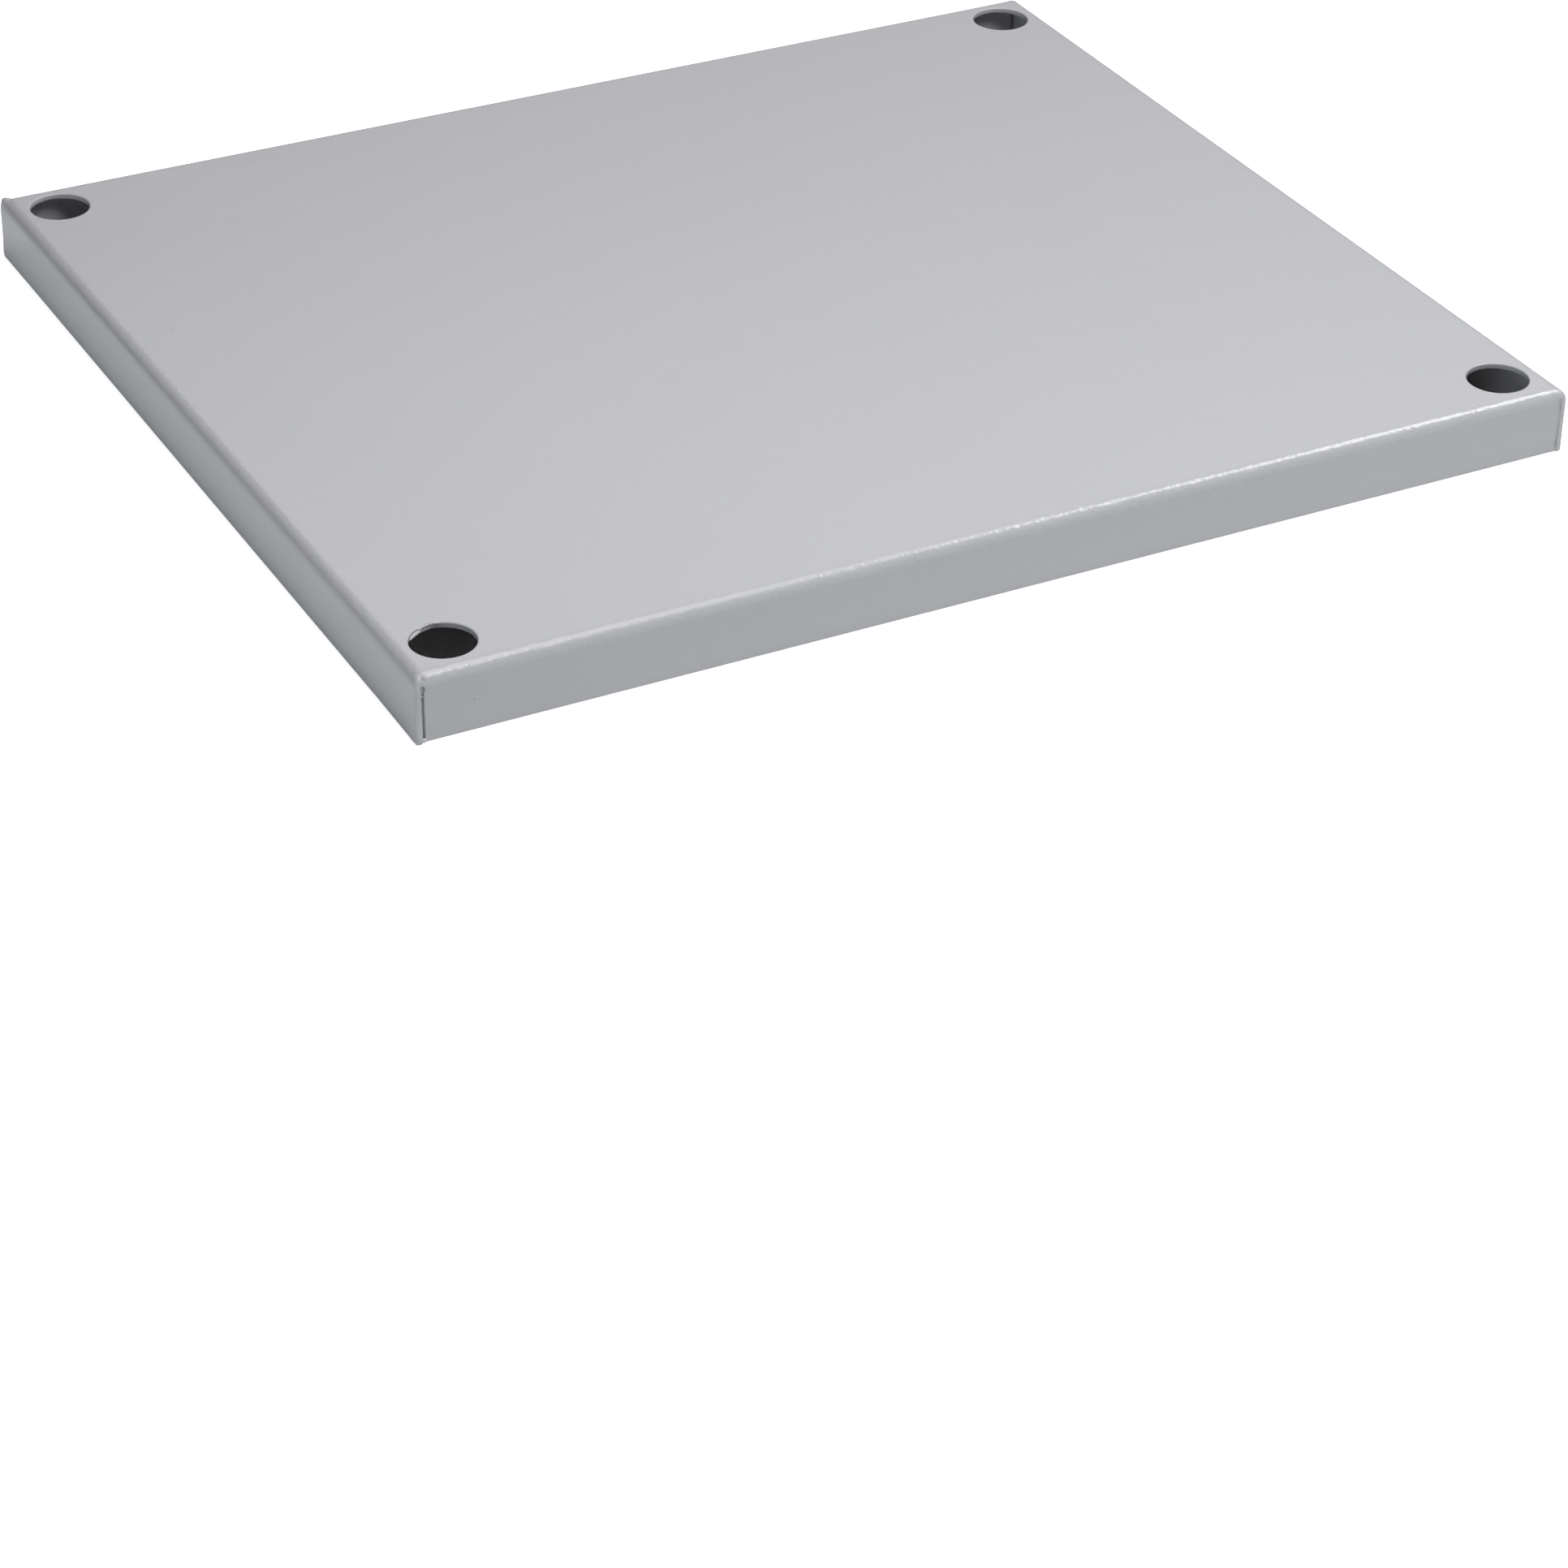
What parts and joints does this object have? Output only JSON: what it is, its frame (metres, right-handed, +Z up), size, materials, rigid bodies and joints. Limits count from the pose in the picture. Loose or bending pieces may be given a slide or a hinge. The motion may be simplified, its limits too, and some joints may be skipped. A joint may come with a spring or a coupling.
{
  "type": "rectangular cover plate",
  "caption": "Shallow rectangular cover plate folded from sheet steel, with a flange down every side and a round hole near each corner, coated light grey.",
  "frame": {"origin": "centre of the footprint, on the plane of the flanges' free edges that the plate stands on", "axes": "+X along the longer side, +Y towards the back along the shorter side, +Z up, out of the flat outer face"},
  "size_m": [0.4, 0.35, 0.022],
  "materials": {
    "light_grey_coat": "light grey powder coat, semi-gloss, with a fine orange-peel surface"
  },
  "bodies": {
    "root": {"cover_plate": "light_grey_coat"}
  },
  "joints": []
}
